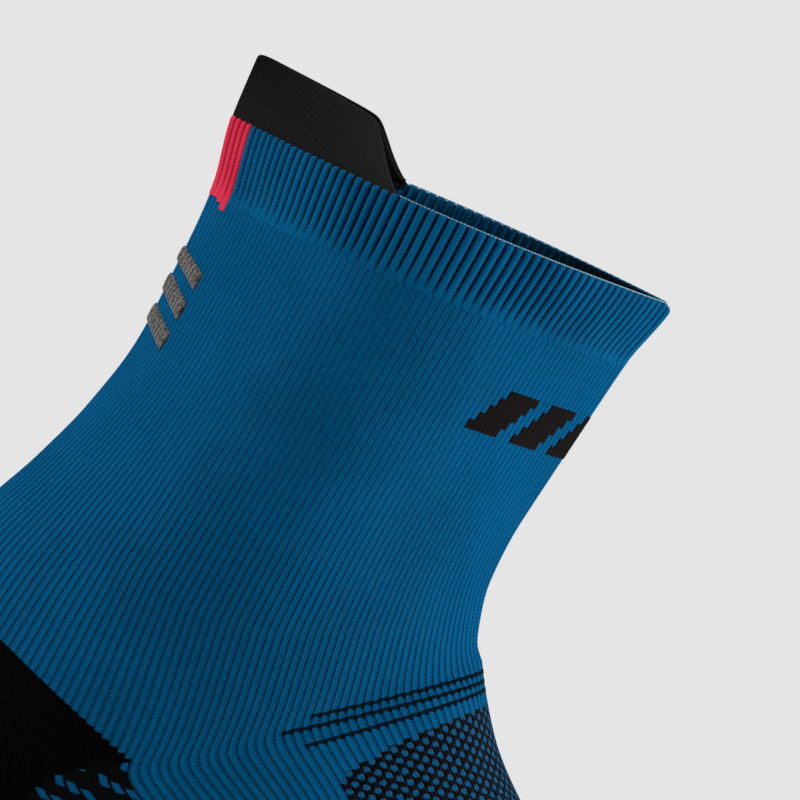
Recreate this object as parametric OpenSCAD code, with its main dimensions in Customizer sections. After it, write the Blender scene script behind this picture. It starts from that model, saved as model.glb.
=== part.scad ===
// Trail running sock, knitted in one tube and shaped as it is on a foot.
// +X points to the toes, +Z up, the sole lies on Z = 0 and Y = 0 is the plane of symmetry.
// The surface is lofted through stations. A station is one course of knitting: it passes through
// a front point, a side point and a back point, and it bulges sideways by its half width.
// Angle 0 is the front of the leg and the top of the foot, 180 is the back and the sole.

/* [Foot] */
// Length from the back of the heel to the tip of the toes
foot_length = 255; // [225:1:290]
// Height of the instep crease above the sole
crease_height = 82; // [72:1:96]
// Distance from the back of the heel to the instep crease
crease_reach = 98; // [86:1:112]
// Width of the heel
heel_width = 67; // [56:1:80]
// Width across the ball of the foot
ball_width = 91; // [76:1:106]
// Height over the toes
toe_height = 24; // [20:1:30]

/* [Leg] */
// Height of the front of the rim above the sole
rim_height = 157.5; // [135:0.5:190]
// How much lower the rim is at the back
rim_drop = 15; // [0:1:24]
// Depth of the leg from front to back at the rim
leg_depth = 89; // [74:1:106]
// Width of the leg at the rim
leg_width = 73; // [60:1:90]

/* [Cuff] */
// Height of the ribbed cuff
cuff_height = 14.5; // [8:0.5:30]
// Rise of the heel tab above the rim at the back
tab_rise = 11.2; // [6:0.2:20]
// Half angle that the tab spans round the back
tab_angle = 76; // [50:1:85]
// Height of the casting-off thread above the rim
rim_thread_height = 0.7; // [0.4:0.1:1.5]

/* [Heel] */
// Height of the heel pocket's upper edge at the back, above the sole
heel_top = 36.5; // [30:0.5:46]
// Distance from the back of the heel to the tip of the heel gore
gore_reach = 50.5; // [43:0.5:58]
// How far the side points' control line drops below the heel pocket's upper edge at the gore
gore_drop = 12.5; // [6:0.5:16]

/* [Knit] */
// Thickness of the knitted wall
wall = 1.6; // [1:0.1:2.2]
// Thickness of the looped pile inside the heel, sole and toe
pile = 1.4; // [0.8:0.1:2]
// How far raised figures stand off the wall
relief = 1; // [0.4:0.1:1.6]
// How far floated patterns and the toe seam stand off the wall
float_height = 0.4; // [0.2:0.1:0.8]
// Slack between knitting that stays stiff and the knitting beside it that bends with a joint
flex_gap = 0.4; // [0.3:0.1:1]

/* [Hidden] */

blue = "#075c93";
black = "#1b1b1d";
red = "#d43a50";
grey = "#6a7782";
pale = "#c9d4da";

sector = 9;             // angle between neighbouring columns of points
rings_per_station = 3;  // rings of points between neighbouring stations
tab_columns = 34;       // columns of points across the heel tab
rim_seat = 0.1;         // clearance under the casting-off thread
rim_lead = 1.8;         // how far the rim's front stands forward of the shin
tab_pinch = 0.6;        // share of the leg's width that the tab draws in by the first station
tab_side = 0.041;       // steepness of the tab's sides, as a share of its height for each degree
tab_climb = 0.05;       // slope of the tab's top edge, which rises a little towards its sides
tab_dip = 1.5;          // how far the tab's top drops at the middle of the back
tab_dip_angle = 20;     // angle to each side over which it drops
sole_depth = 12;        // depth below the floor of the stations' back points, which flattens the sole
sole_round = 4;         // height over which the sole's edge rounds into the flat
corner = 0.3;           // softness of a course's turn at the side point
probe = 0.01;           // step used to find the direction of the surface
leg_edge = 2;           // how sharply the leg's section turns at the front and back, where 1 is an ellipse
foot_edge = 1;          // the same for the foot

// Numbers of the stations where zones of knitting begin and end
rim = 1;
cuff_end = 2;
leg_end = 13 / 3;
heel_start = 8;
heel_end = 13;
arch_start = 15;
arch_end = 17;
forefoot_start = 18;
toe_start = 20;
toe_tip = 24;
flex_first = 25 / 3;    // first of the three flex lines
seam_station = 64 / 3;
relief_pitch = 0.45;    // stations between the raised bars
relief_bar = 0.28;      // length of a raised bar along the leg, in stations
relief_seat = 0.05;     // clearance under the raised bars

// Angles where zones begin and end
stripe_angle = 3 * sector;
relief_angle = 3 * sector;
motif_angle = 6 * sector;
flex_angle = 7 * sector;
instep_angle = 6 * sector;
side_angle = 9 * sector;
sole_angle = 13 * sector;
seam_angle = 10 * sector;
heel_angle = 90;

// Worked out from the sizes above
shin_x = crease_reach - 7.5;
calf_x = shin_x + rim_lead - leg_depth;
toe_reach = foot_length - crease_reach;
rim_back = rim_height - rim_drop;
front_rise = rim_height - cuff_height - crease_height;
back_rise = rim_back - cuff_height - heel_top;
gore_top = heel_top - gore_drop;
side_rise = (front_rise + crease_height + back_rise + heel_top) / 2 - gore_top;
middle_x = foot_length / 2;
rim_slope = atan(rim_drop / leg_depth);
tab_level = tab_rise + 2.2;                     // how far above the rim the first station lies
ankle_slack = flex_gap / (front_rise * 0.2);    // the gap over the ankle knit, in stations
toe_slack = flex_gap / (toe_reach * 0.12);      // the gap behind the toe pocket, in stations

// Leg courses below the cuff: share of the way down and offset at the front, share of the way
// down at the side, share of the way down and offset at the back, share of the leg's width
// kept, and sharpness of the front and back edges
leg_shape = [
    [0, 0.2, 0, 0, 4.5, 0.99, 1],
    [0.31, 0, 0.17, 0.157, 7, 0.97, 0.9],
    [0.57, -0.1, 0.344, 0.344, 9.1, 0.95, 0.75],
    [0.77, 1, 0.513, 0.493, 8.4, 0.935, 0.6],
    [0.89, 3.3, 0.69, 0.642, 6.1, 0.92, 0.42],
    [0.967, 5.7, 0.85, 0.813, 2.4, 0.91, 0.28]
];

// Heel courses: share of the turn made at the front, then the back point's distance from the
// back of the heel and its height as a share of the heel pocket's upper edge
heel_shape = [
    [0, 0.8, 1],
    [0.2, 0, 0.66],
    [0.4, 2.4, 0.28],
    [0.6, 12, -0.08],
    [0.8, 25, -0.29],
    [1, 38, -0.348]
];

// Foot courses: share of the way from the crease to the toes at the top, side and bottom,
// share of the height lost at the top, height at the side, and the shares of the heel's and
// of the ball's width
foot_shape = [
    [0.075, 0.207, -0.2, 28.5, -0.28, 1, 0],
    [0.154, 0.345, -0.1, 27, -0.15, 0.95, 0.06],
    [0.268, 0.485, 0.04, 25, 0, 0.75, 0.26],
    [0.395, 0.612, 0.2, 23, 0.17, 0.45, 0.56],
    [0.53, 0.724, 0.363, 21, 0.35, 0.15, 0.86],
    [0.656, 0.82, 0.522, 19, 0.522, 0, 1],
    [0.77, 0.897, 0.67, 17.5, 0.68, 0, 0.98],
    [0.866, 0.966, 0.796, 16, 0.822, 0, 0.88],
    [0.943, 1.04, 0.904, 14, 0.93, 0, 0.69],
    [0.987, 1.14, 0.975, 11.5, 0.987, 0, 0.41],
    [1, 1.23, 1, 9.5, 1, 0, 0.17]
];

// A station is [front x, front z, side x, side z, back x, back z, half width, edge sharpness]
function leg_station(r) =
    let (
        front = [shin_x + r[1], crease_height + front_rise * (1 - r[0])],
        back = [calf_x * (1 - r[3]) + r[4], heel_top + back_rise * (1 - r[3])],
        rim_middle = (shin_x + calf_x) / 2 + 1.5,
        side = [rim_middle + (gore_reach - rim_middle) * r[2], gore_top + side_rise * (1 - r[2])]
    )
    [front[0], front[1], side[0], side[1], back[0], back[1],
        leg_width / 2 * r[5], foot_edge + (leg_edge - foot_edge) * r[6]];

function heel_station(r) =
    [crease_reach + 0.5 + 2.3 * r[0], crease_height - 2.9 * r[0],
        gore_reach - 2 * r[0], gore_top + 2.2 * r[0],
        r[1], heel_top * r[2], heel_width / 2, foot_edge + 0.2 * (1 - r[0])];

function foot_station(r) =
    [crease_reach + toe_reach * r[0], toe_height + (crease_height - toe_height) * (1 - r[1]),
        crease_reach + toe_reach * r[2], r[3],
        crease_reach + toe_reach * r[4], -sole_depth * min(1, 4.8 * (1 - r[0])) + 8.5 * pow(r[0], 12),
        heel_width / 2 * r[5] + ball_width / 2 * r[6], foot_edge];

// The rim's station, raised along the leg by the given height
function rim_station(up) =
    let (
        dx = -up * sin(rim_slope),
        dz = up * cos(rim_slope),
        front = [shin_x + rim_lead + dx, rim_height + dz],
        back = [calf_x + dx, rim_back + dz],
        side = (front + back) / 2
    )
    [front[0], front[1], side[0], side[1], back[0], back[1],
        leg_width / 2 * (1 - tab_pinch * up / tab_level), leg_edge];

stations = concat(
    [rim_station(tab_level), rim_station(0)],
    [for (r = leg_shape) leg_station(r)],
    [for (r = heel_shape) heel_station(r)],
    [for (r = foot_shape) foot_station(r)]
);

// Smooth curve through the stations that never swings past them: the slope at a station is the
// harmonic mean of the steps on either side, and 0 where the curve turns back
function station(i) = stations[max(0, min(len(stations) - 1, i))];
function slope(before, after) = before * after <= 0 ? 0 : 2 * before * after / (before + after);
function spline(a, b, c, d, u) =
    let (
        step = c - b,
        out = slope(b - a, step),
        into = slope(step, d - c)
    )
    b + u * (out + u * (3 * step - 2 * out - into + u * (out + into - 2 * step)));
function section(t) =
    let (
        i = floor(t),
        a = station(i - 1),
        b = station(i),
        c = station(i + 1),
        d = station(i + 2)
    )
    [for (k = [0:len(b) - 1]) spline(a[k], b[k], c[k], d[k], t - i)];

// Share of the way from the side point to the front point, with a soft turn at the side
function ramp(c) = (c + 1 + sqrt(c * c + corner * corner) - sqrt(1 + corner * corner)) / 2;

// Presses what would lie below the floor into a flat sole with a rounded edge
function floored(z) =
    z >= sole_round ? z : z <= -sole_round ? 0 : (z + sole_round) * (z + sole_round) / (4 * sole_round);

// Point on the outer surface at station t and angle a
function skin(t, a) =
    let (
        s = section(t),
        g = ramp(cos(a)),
        h = ramp(-cos(a)),
        turn = sin(a)
    )
    [
        s[2] + (s[0] - s[2]) * g + (s[4] - s[2]) * h - middle_x,
        s[6] * sign(turn) * pow(abs(turn), s[7]),
        floored(s[3] + (s[1] - s[3]) * g + (s[5] - s[3]) * h)
    ];

// Direction out of the surface
function outward(t, a) =
    let (
        along = skin(min(t + probe, toe_tip), a) - skin(t - probe, a),
        around = skin(t, a + 2) - skin(t, a - 2),
        n = cross(along, around)
    )
    n / norm(n);

// Point at the given height above the outer surface, or below it where negative
function layer(t, a, height) =
    height == 0 ? skin(t, a) : skin(t, a) + height * outward(t, a);

// Evenly spaced values from a to b
function even(a, b, steps) = [for (i = [0:steps]) a + (b - a) * i / steps];
function courses(a, b) = even(a, b, max(1, round((b - a) * rings_per_station)));
function columns(a, b) = even(a, b, round((b - a) / sector));

// Closed solid between two grids of points with the same rows and columns. As a ring its last
// column joins its first, and capped it has a flat end at its last row.
module shell(outer, inner, ring = false, capped = false) {
    rows = len(outer);
    cols = len(outer[0]);
    count = rows * cols;
    last = rows - 1;
    spans = ring ? cols - 1 : cols - 2;
    at = function(i, j) i * cols + j % cols;
    quads = concat(
        [for (i = [0:last - 1]) for (j = [0:spans]) [at(i, j), at(i, j + 1), at(i + 1, j), at(i + 1, j + 1)]],
        [for (i = [0:last - 1]) for (j = [0:spans])
            [count + at(i, j), count + at(i + 1, j), count + at(i, j + 1), count + at(i + 1, j + 1)]],
        [for (j = [0:spans]) [at(0, j), count + at(0, j), at(0, j + 1), count + at(0, j + 1)]],
        capped ? [] : [for (j = [0:spans])
            [at(last, j), at(last, j + 1), count + at(last, j), count + at(last, j + 1)]],
        ring ? [] : [for (i = [0:last - 1]) [at(i, 0), at(i + 1, 0), count + at(i, 0), count + at(i + 1, 0)]],
        ring ? [] : [for (i = [0:last - 1]) let (j = cols - 1)
            [at(i, j), count + at(i, j), at(i + 1, j), count + at(i + 1, j)]]
    );
    caps = capped ? [
        [for (j = [0:cols - 1]) at(last, j)],
        [for (j = [0:cols - 1]) count + at(last, cols - 1 - j)]
    ] : [];
    faces = concat([for (q = quads) each [[q[0], q[1], q[2]], [q[1], q[3], q[2]]]], caps);
    polyhedron([for (grid = [outer, inner]) for (row = grid) for (p = row) p], faces);
}

// Grid of points at one height, one row for each station in ts and one column for each angle in as
function grid(ts, as, height) = [for (t = ts) [for (a = as) layer(t, a, height)]];

// Patch of knitting between two stations and two angles
module patch(from, to, left, right, top = 0, bottom = -wall) {
    ts = courses(from, to);
    as = columns(left, right);
    shell(grid(ts, as, top), grid(ts, as, bottom));
}

// Whole tube of knitting between two stations
module round_patch(from, to, closed = false, top = 0, bottom = -wall) {
    ts = courses(from, to);
    as = columns(-180, 180 - sector);
    shell(grid(ts, as, top), grid(ts, as, bottom), ring = true, capped = closed);
}

// Height of the heel tab, as a share of the space between the rim and the first station: nearly
// level along the top, rounded down at the middle of the back, with a steep edge at each side
function tab_share(a) =
    let (
        p = skin(rim, a),
        off = abs(a - 180),
        dip = tab_dip * pow(max(0, 1 - off / tab_dip_angle), 2),
        climb = tab_climb * (p[0] - skin(rim, 180)[0]),
        level = (rim_back + tab_rise + climb - dip - p[2]) / (tab_level * cos(rim_slope)),
        edge = (tab_angle - off) * tab_side + 0.02,
        gap = level - edge
    )
    max(0.03, (level + edge - sqrt(gap * gap + 0.004)) / 2);
function tab_grid(height) =
    [for (u = even(0, 1, 4)) [for (a = even(180 - tab_angle, 180 + tab_angle, tab_columns))
        layer(rim - tab_share(a) * (1 - u), a, height)]];

module rim_thread() {
    seat = rim_seat / tab_level;
    lift = rim_thread_height / tab_level;
    as = even(180 + tab_angle + 2 - 360, 180 - tab_angle - 2, 24);
    ts = [rim - seat - lift, rim - seat];
    color(pale)
    shell(grid(ts, as, -wall * 0.3), grid(ts, as, -wall * 0.8));
}

module cuff_rib() {
    color(blue) patch(rim, cuff_end, stripe_angle - 180, 180 - stripe_angle);
}

module back_stripe() {
    color(red) patch(rim, cuff_end, 180 - stripe_angle, 180 + stripe_angle);
}

module heel_tab() {
    color(black) shell(tab_grid(0), tab_grid(-wall / 2));
}

module heel_tab_lining() {
    color(black) shell(tab_grid(-wall / 2), tab_grid(-wall));
}

module leg_tube() {
    color(blue) round_patch(cuff_end, leg_end);
}

// Slanted bars across the front of the leg: three rows, each a step further round
module front_motif() {
    row = 1 / rings_per_station;
    color(black)
    for (k = [0:2]) {
        from = cuff_end + row * (k + 1);
        start = -motif_angle + sector * k;
        for (left = [start, start + 5 * sector])
            patch(from, from + row, left, left + 4 * sector, float_height, 0);
    }
}

// Three raised bars across the Achilles tendon
module achilles_relief() {
    as = columns(180 - relief_angle, 180 + relief_angle);
    color(grey)
    for (k = [0:2]) {
        from = cuff_end + 2 / rings_per_station + k * relief_pitch;
        ts = [from, from + relief_bar];
        shell(grid(ts, as, relief), grid(ts, as, relief_seat));
    }
}

module ankle_tube() {
    as = columns(-180, 180 - sector);
    ts = concat([leg_end + ankle_slack], courses(leg_end + 1 / rings_per_station, heel_start));
    color(blue)
    shell(grid(ts, as, 0), grid(ts, as, -wall), ring = true);
}

module instep_gusset() {
    color(blue) patch(heel_start, heel_end, -heel_angle, heel_angle);
}

module flex_lines() {
    color(black)
    for (k = [0:2])
        let (from = flex_first + k * 5 / 3)
            patch(from, from + 2 / 3, -flex_angle, flex_angle, float_height, 0);
}

module heel_pocket() {
    color(black) patch(heel_start, heel_end, heel_angle, 360 - heel_angle);
}

module heel_terry() {
    edge = heel_angle + 2 * sector;
    color(black) patch(heel_start, heel_end, edge, 360 - edge, -wall, -wall - pile);
}

module instep_panel() {
    color(black) patch(heel_end, forefoot_start, -instep_angle, instep_angle);
}

// Plain knit between the instep panel and the side panels, and beside the ball of the foot
module foot_top() {
    color(blue) {
        patch(heel_end, arch_start, -side_angle, -instep_angle);
        patch(heel_end, arch_start, instep_angle, side_angle);
        patch(arch_end, forefoot_start, -sole_angle, -instep_angle);
        patch(arch_end, forefoot_start, instep_angle, sole_angle);
    }
}

module side_panel_left() {
    color(black) patch(heel_end, arch_start, side_angle, sole_angle);
}

module side_panel_right() {
    color(black) patch(heel_end, arch_start, -sole_angle, -side_angle);
}

module arch_band() {
    color(blue) {
        patch(arch_start, arch_end, instep_angle, sole_angle);
        patch(arch_start, arch_end, -sole_angle, -instep_angle);
    }
}

module sole_panel() {
    color(black) patch(heel_end, forefoot_start, sole_angle, 360 - sole_angle);
}

module sole_terry() {
    color(black) patch(heel_end, forefoot_start, sole_angle, 360 - sole_angle, -wall, -wall - pile);
}

module forefoot_top() {
    color(blue) patch(forefoot_start, toe_start - toe_slack, -sole_angle, sole_angle);
}

module forefoot_sole() {
    color(black) patch(forefoot_start, toe_start - toe_slack, sole_angle, 360 - sole_angle);
}

module forefoot_terry() {
    color(black)
    patch(forefoot_start, toe_start - toe_slack, sole_angle, 360 - sole_angle, -wall, -wall - pile);
}

module toe_pocket() {
    color(black) round_patch(toe_start, toe_tip, true);
}

module toe_terry() {
    color(black) round_patch(toe_start, toe_tip - 1, false, -wall, -wall - pile);
}

module toe_seam() {
    color(black) patch(seam_station, seam_station + 1 / 3, -seam_angle, seam_angle, 2 * float_height, 0);
}

rim_thread();
cuff_rib();
back_stripe();
heel_tab();
heel_tab_lining();
leg_tube();
front_motif();
achilles_relief();
ankle_tube();
instep_gusset();
flex_lines();
heel_pocket();
heel_terry();
instep_panel();
foot_top();
side_panel_left();
side_panel_right();
arch_band();
sole_panel();
sole_terry();
forefoot_top();
forefoot_sole();
forefoot_terry();
toe_pocket();
toe_terry();
toe_seam();
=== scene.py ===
import math

import bmesh
import bpy
import numpy as np
from mathutils import Matrix, Vector


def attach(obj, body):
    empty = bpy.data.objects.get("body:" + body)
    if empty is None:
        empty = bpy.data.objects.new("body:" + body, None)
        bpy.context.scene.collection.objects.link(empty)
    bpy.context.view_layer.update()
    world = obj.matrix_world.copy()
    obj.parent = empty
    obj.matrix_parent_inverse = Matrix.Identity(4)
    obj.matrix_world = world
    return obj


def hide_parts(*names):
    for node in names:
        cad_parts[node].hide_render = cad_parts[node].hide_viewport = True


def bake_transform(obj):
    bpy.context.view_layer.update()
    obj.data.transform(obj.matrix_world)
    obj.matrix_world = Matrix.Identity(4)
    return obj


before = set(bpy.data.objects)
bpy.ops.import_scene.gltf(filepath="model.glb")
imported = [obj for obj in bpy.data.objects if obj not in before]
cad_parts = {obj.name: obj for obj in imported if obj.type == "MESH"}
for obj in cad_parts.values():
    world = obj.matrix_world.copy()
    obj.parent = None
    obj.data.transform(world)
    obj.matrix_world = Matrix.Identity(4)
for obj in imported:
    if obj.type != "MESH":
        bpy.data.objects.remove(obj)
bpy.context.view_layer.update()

# The knitting is laid over one lofted surface, the same as the CAD model's. Its sizes are in
# millimetres, and place() turns them into metres. A station numbers a course from the heel tab's
# top, 0, to the tip of the toe, and an angle goes round it: 0 is the front of the leg and the top
# of the foot, and 180 the back of the leg and the sole.

# Foot and leg
FOOT_LENGTH = 255
CREASE_HEIGHT = 82
CREASE_REACH = 98
HEEL_WIDTH = 67
BALL_WIDTH = 91
TOE_HEIGHT = 24
RIM_HEIGHT = 157.5
RIM_DROP = 15
LEG_DEPTH = 89
LEG_WIDTH = 73
CUFF_HEIGHT = 14.5
TAB_RISE = 11.2
TAB_ANGLE = 76
HEEL_TOP = 36.5
GORE_REACH = 50.5
GORE_DROP = 12.5
RIM_LEAD = 1.8
TAB_PINCH = 0.6
TAB_SIDE = 0.041
TAB_CLIMB = 0.05
TAB_DIP = 1.5
TAB_DIP_ANGLE = 20
TAB_LEVEL = TAB_RISE + 2.2
SOLE_DEPTH = 12
SOLE_ROUND = 4
CORNER = 0.3
PROBE = 0.01
LEG_EDGE = 2
FOOT_EDGE = 1

SHIN_X = CREASE_REACH - 7.5
CALF_X = SHIN_X + RIM_LEAD - LEG_DEPTH
TOE_REACH = FOOT_LENGTH - CREASE_REACH
RIM_BACK = RIM_HEIGHT - RIM_DROP
FRONT_RISE = RIM_HEIGHT - CUFF_HEIGHT - CREASE_HEIGHT
BACK_RISE = RIM_BACK - CUFF_HEIGHT - HEEL_TOP
GORE_TOP = HEEL_TOP - GORE_DROP
SIDE_RISE = (FRONT_RISE + CREASE_HEIGHT + BACK_RISE + HEEL_TOP) / 2 - GORE_TOP
RIM_SLOPE = math.atan(RIM_DROP / LEG_DEPTH)

# Stations where zones of knitting begin and end
RIM = 1
CUFF_END = 2
LEG_END = 13 / 3
HEEL_START = 8
HEEL_END = 13
ARCH_START = 15
ARCH_END = 17
FOREFOOT_START = 18
TOE_START = 20
TOE_TIP = 24
SEAM_STATION = 64 / 3

# Knitting: wales are the columns of stitches, counted on each side from the front to the back.
# The edges are wale numbers, and the courses, walls and furrows millimetres. Courses are counted
# down from the rim, and on from RESTART where the heel ends.
WALES = 80
RIBS = 60
MESH_EDGE = 25
GORE_WALE = 46
BLACK_EDGE = 44
SOLE_WALE = 58
FAR_SOLE_WALE = 2 * WALES - SOLE_WALE
STRIPE_RIBS = 4
COURSE = 0.7
RESTART = 120
WALL = 1.5
PILE = 1.4
PILE_GAP = 0.05
FURROW = 0.13

# Past the gore the wales run down and forward: where they stop turning, the wale that is at the
# side there, and the reach of the smoothing in millimetres
TURN_END = 14.6
TURNED_WALE = 40
EASING = 5

# The heel pocket's upper edge in the side view, forward of the back of the heel and above the
# floor, and the stations between which its lower edge slants at the dashed panel
HEEL_EDGE_BACK = (21.3, 39)
HEEL_EDGE_FRONT = (50.3, 34.6)
DASH_START = (8.8, 12.4)

# The instep mesh's upper edge: its station at the front, how far it drops, and how late
MESH_START = 13.45
MESH_DROP = 0.39
MESH_CURVE = 2.6

# The shapes' rows are what leg_station(), heel_station() and foot_station() take
LEG_SHAPE = [
    (0, 0.2, 0, 0, 4.5, 0.99, 1),
    (0.31, 0, 0.17, 0.157, 7, 0.97, 0.9),
    (0.57, -0.1, 0.344, 0.344, 9.1, 0.95, 0.75),
    (0.77, 1, 0.513, 0.493, 8.4, 0.935, 0.6),
    (0.89, 3.3, 0.69, 0.642, 6.1, 0.92, 0.42),
    (0.967, 5.7, 0.85, 0.813, 2.4, 0.91, 0.28),
]
HEEL_SHAPE = [
    (0, 0.8, 1),
    (0.2, 0, 0.66),
    (0.4, 2.4, 0.28),
    (0.6, 12, -0.08),
    (0.8, 25, -0.29),
    (1, 38, -0.348),
]
FOOT_SHAPE = [
    (0.075, 0.207, -0.2, 28.5, -0.28, 1, 0),
    (0.154, 0.345, -0.1, 27, -0.15, 0.95, 0.06),
    (0.268, 0.485, 0.04, 25, 0, 0.75, 0.26),
    (0.395, 0.612, 0.2, 23, 0.17, 0.45, 0.56),
    (0.53, 0.724, 0.363, 21, 0.35, 0.15, 0.86),
    (0.656, 0.82, 0.522, 19, 0.522, 0, 1),
    (0.77, 0.897, 0.67, 17.5, 0.68, 0, 0.98),
    (0.866, 0.966, 0.796, 16, 0.822, 0, 0.88),
    (0.943, 1.04, 0.904, 14, 0.93, 0, 0.69),
    (0.987, 1.14, 0.975, 11.5, 0.987, 0, 0.41),
    (1, 1.23, 1, 9.5, 1, 0, 0.17),
]


# ---- The surface ----

def rim_station(up):
    """Front, side and back points, half width and edge of the rim, raised along the leg."""
    dx = -up * math.sin(RIM_SLOPE)
    dz = up * math.cos(RIM_SLOPE)
    front = (SHIN_X + RIM_LEAD + dx, RIM_HEIGHT + dz)
    back = (CALF_X + dx, RIM_BACK + dz)
    side = ((front[0] + back[0]) / 2, (front[1] + back[1]) / 2)
    return [*front, *side, *back, LEG_WIDTH / 2 * (1 - TAB_PINCH * up / TAB_LEVEL), LEG_EDGE]


def leg_station(down, front_out, side_down, back_down, back_out, width, edge):
    """The same for the leg. Shares go from 0 at the cuff's end to 1 at the gore."""
    middle = (SHIN_X + CALF_X) / 2 + 1.5
    return [
        SHIN_X + front_out, CREASE_HEIGHT + FRONT_RISE * (1 - down),
        middle + (GORE_REACH - middle) * side_down, GORE_TOP + SIDE_RISE * (1 - side_down),
        CALF_X * (1 - back_down) + back_out, HEEL_TOP + BACK_RISE * (1 - back_down),
        LEG_WIDTH / 2 * width, FOOT_EDGE + (LEG_EDGE - FOOT_EDGE) * edge,
    ]


def heel_station(turn, back_x, back_height):
    """The same for the heel, which turns about the gore as turn goes from 0 to 1."""
    return [
        CREASE_REACH + 0.5 + 2.3 * turn, CREASE_HEIGHT - 2.9 * turn,
        GORE_REACH - 2 * turn, GORE_TOP + 2.2 * turn,
        back_x, HEEL_TOP * back_height, HEEL_WIDTH / 2, FOOT_EDGE + 0.2 * (1 - turn),
    ]


def foot_station(top, lost, side, side_height, sole, of_heel, of_ball):
    """The same for the foot. Shares go from 0 at the instep crease to 1 at the tip of the toe."""
    under = -SOLE_DEPTH * min(1, 4.8 * (1 - top)) + 8.5 * top**12
    return [
        CREASE_REACH + TOE_REACH * top, TOE_HEIGHT + (CREASE_HEIGHT - TOE_HEIGHT) * (1 - lost),
        CREASE_REACH + TOE_REACH * side, side_height,
        CREASE_REACH + TOE_REACH * sole, under,
        HEEL_WIDTH / 2 * of_heel + BALL_WIDTH / 2 * of_ball, FOOT_EDGE,
    ]


STATIONS = np.array(
    [rim_station(TAB_LEVEL), rim_station(0)]
    + [leg_station(*row) for row in LEG_SHAPE]
    + [heel_station(*row) for row in HEEL_SHAPE]
    + [foot_station(*row) for row in FOOT_SHAPE]
)


def slope(before, after):
    """Harmonic mean of two steps, and 0 where they turn back."""
    total = before + after
    same_way = before * after > 0
    return np.where(same_way, 2 * before * after / np.where(same_way, total, 1), 0)


def section(t):
    """The eight numbers of the course at t, on a curve that never swings past the stations."""
    i = np.floor(t).astype(int)
    a, b, c, d = (STATIONS[np.clip(i + k, 0, len(STATIONS) - 1)] for k in (-1, 0, 1, 2))
    u = (t - i)[..., None]
    step = c - b
    out = slope(b - a, step)
    into = slope(step, d - c)
    return b + u * (out + u * (3 * step - 2 * out - into + u * (out + into - 2 * step)))


def ramp(c):
    """c where it is above 0, and 0 below, with a rounded corner between."""
    return (c + 1 + np.sqrt(c * c + CORNER**2) - math.sqrt(1 + CORNER**2)) / 2


def floored(z):
    """Presses what would lie below the floor into a flat sole with a rounded edge."""
    rounded = (z + SOLE_ROUND) ** 2 / (4 * SOLE_ROUND)
    return np.where(z >= SOLE_ROUND, z, np.where(z <= -SOLE_ROUND, 0, rounded))


def skin(t, a):
    """Points on the outer surface at stations t and angles a, in millimetres."""
    t, a = np.broadcast_arrays(np.asarray(t, float), np.asarray(a, float))
    s = section(t)
    turn = np.sin(np.radians(a))
    g = ramp(np.cos(np.radians(a)))
    h = ramp(-np.cos(np.radians(a)))
    x = s[..., 2] + (s[..., 0] - s[..., 2]) * g + (s[..., 4] - s[..., 2]) * h - FOOT_LENGTH / 2
    y = s[..., 6] * np.sign(turn) * np.abs(turn) ** s[..., 7]
    z = floored(s[..., 3] + (s[..., 1] - s[..., 3]) * g + (s[..., 5] - s[..., 3]) * h)
    return np.stack([x, y, z], -1)


def outward(t, a):
    """Directions straight out of the surface."""
    along = skin(np.minimum(t + PROBE, TOE_TIP), a) - skin(t - PROBE, a)
    around = skin(t, a + 2) - skin(t, a - 2)
    n = np.cross(along, around)
    return n / np.linalg.norm(n, axis=-1, keepdims=True)


def lengths(points):
    """Distance along each row of points."""
    steps = np.linalg.norm(np.diff(points, axis=1), axis=-1)
    return np.concatenate([np.zeros((len(steps), 1)), np.cumsum(steps, axis=1)], axis=1)


# Tables by course and wale: the angle of each wale, and how far down from the rim it has run.
# Wales are evenly spaced round the leg. Round the heel the gore's wale stays at the side, and
# past the gore the wales run down and forward towards the sole.
TABLE_T = np.linspace(0, TOE_TIP, 289)


def wale_angles():
    """The angle of each wale at each course."""
    angles = np.linspace(0, 180, 361)
    arcs = lengths(skin(TABLE_T[:, None], angles[None, :]))
    side = arcs[:, 180] / arcs[:, -1]
    hold = np.interp(TABLE_T, [HEEL_START - 2, HEEL_START, TURN_END, ARCH_END], [0, 1, 1, 0])
    gore = np.interp(TABLE_T, [HEEL_END, TURN_END], [GORE_WALE, TURNED_WALE]) / WALES
    share = side + hold * (gore - side)
    wales = np.linspace(0, 1, WALES + 1)
    rows = []
    for k, arc in enumerate(arcs):
        reach = np.interp(wales, [0, share[k], 1], [0, arc[180], arc[-1]])
        rows.append(np.interp(reach, arc, angles))
    return np.array(rows)


ANGLES = wale_angles()


def runs_down(paths):
    """How far each course lies down from the rim along each wale."""
    along = lengths(np.swapaxes(paths, 0, 1)).T
    return along - along[np.argmin(np.abs(TABLE_T - RIM))]


def soft_turns():
    """Shifts by course and wale that carry the wales round the gore in a soft curve: near it each
    point moves to the mean of its wale a few millimetres up and down."""
    paths = skin(TABLE_T[:, None], ANGLES)
    run = runs_down(paths)
    along = np.linspace(-EASING, EASING, 21)
    weights = 1.05 - np.abs(along) / EASING
    shifts = np.zeros(paths.shape)
    for j in range(WALES + 1):
        for k in range(3):
            around = [np.interp(run[:, j] + d, run[:, j], paths[:, j, k]) for d in along]
            shifts[:, j, k] = np.average(around, axis=0, weights=weights) - paths[:, j, k]
    by_course = np.interp(TABLE_T, [HEEL_START - 1.5, HEEL_START - 0.5, 14, 16], [0, 1, 1, 0])
    by_wale = np.interp(np.arange(WALES + 1), [4, 14, 56, 70], [0, 1, 1, 0])
    return shifts * (by_course[:, None] * by_wale)[..., None]


TURNS = soft_turns()
RUN = runs_down(skin(TABLE_T[:, None], ANGLES) + TURNS)


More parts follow.
